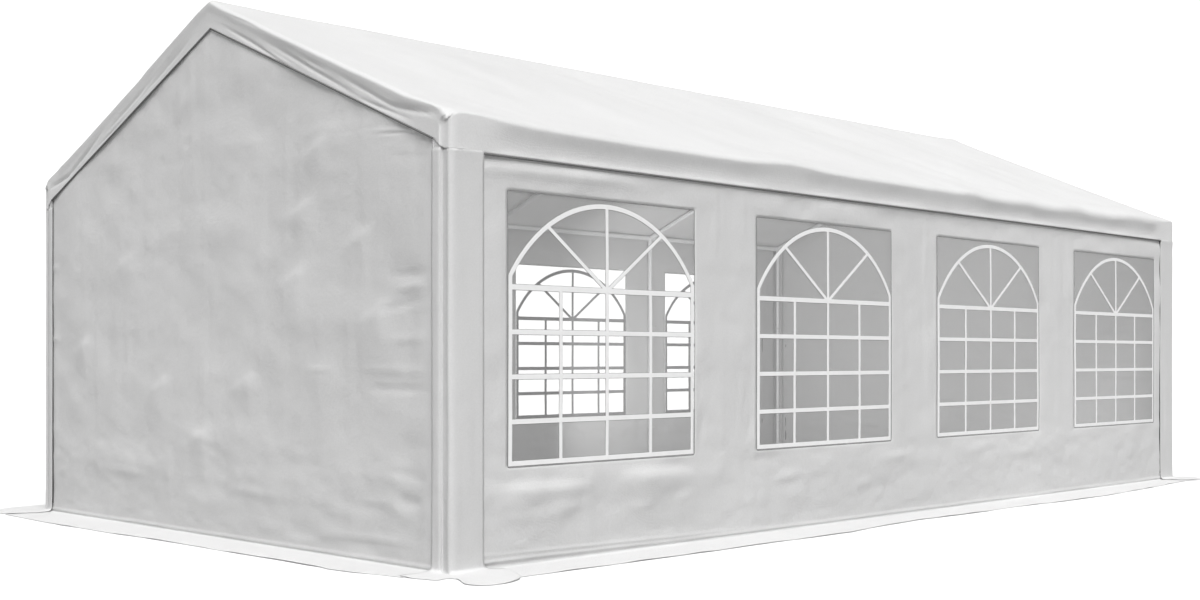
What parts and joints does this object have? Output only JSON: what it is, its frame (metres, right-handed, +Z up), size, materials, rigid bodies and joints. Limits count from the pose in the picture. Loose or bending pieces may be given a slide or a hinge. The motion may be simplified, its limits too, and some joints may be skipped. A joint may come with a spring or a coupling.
{
  "type": "marquee tent",
  "caption": "Gable-roofed marquee tent: a steel tube frame under a fabric roof cover with a valance, windowed side walls, closed end walls, corner sleeves and a ground skirt.",
  "frame": {"origin": "middle of the footprint, on the ground", "axes": "+X along the tent, to the right as seen from the front; +Y across it, towards the back wall; +Z up"},
  "size_m": [8.86, 4.76, 3.043],
  "materials": {
    "galvanised_steel": "dull galvanised zinc",
    "roof_fabric": "white coated polyethylene cloth, matt with a soft sheen",
    "wall_fabric": "white coated polyethylene cloth with a fine grain and soft dents",
    "window_film": "clear vinyl film with a printed pattern of white glazing bars"
  },
  "bodies": {
    "root": {"leg_front_1": "galvanised_steel", "leg_front_2": "galvanised_steel", "leg_front_3": "galvanised_steel", "leg_front_4": "galvanised_steel", "leg_front_5": "galvanised_steel", "leg_back_1": "galvanised_steel", "leg_back_2": "galvanised_steel", "leg_back_3": "galvanised_steel", "leg_back_4": "galvanised_steel", "leg_back_5": "galvanised_steel", "roof_frame_1": "galvanised_steel", "roof_frame_2": "galvanised_steel", "roof_frame_3": "galvanised_steel", "roof_frame_4": "galvanised_steel", "roof_frame_5": "galvanised_steel", "eave_purlin_front_1": "galvanised_steel", "eave_purlin_front_2": "galvanised_steel", "eave_purlin_front_3": "galvanised_steel", "eave_purlin_front_4": "galvanised_steel", "eave_purlin_back_1": "galvanised_steel", "eave_purlin_back_2": "galvanised_steel", "eave_purlin_back_3": "galvanised_steel", "eave_purlin_back_4": "galvanised_steel", "ridge_purlin_1": "galvanised_steel", "ridge_purlin_2": "galvanised_steel", "ridge_purlin_3": "galvanised_steel", "ridge_purlin_4": "galvanised_steel", "roof_cover": "roof_fabric", "front_wall": "wall_fabric", "back_wall": "wall_fabric", "left_gable_wall": "wall_fabric", "right_gable_wall": "wall_fabric", "corner_sleeve_front_left": "wall_fabric", "corner_sleeve_front_right": "wall_fabric", "corner_sleeve_back_left": "wall_fabric", "corner_sleeve_back_right": "wall_fabric", "window_front_1": "window_film", "window_front_2": "window_film", "window_front_3": "window_film", "window_front_4": "window_film", "window_back_1": "window_film", "window_back_2": "window_film", "window_back_3": "window_film", "window_back_4": "window_film"}
  },
  "joints": []
}
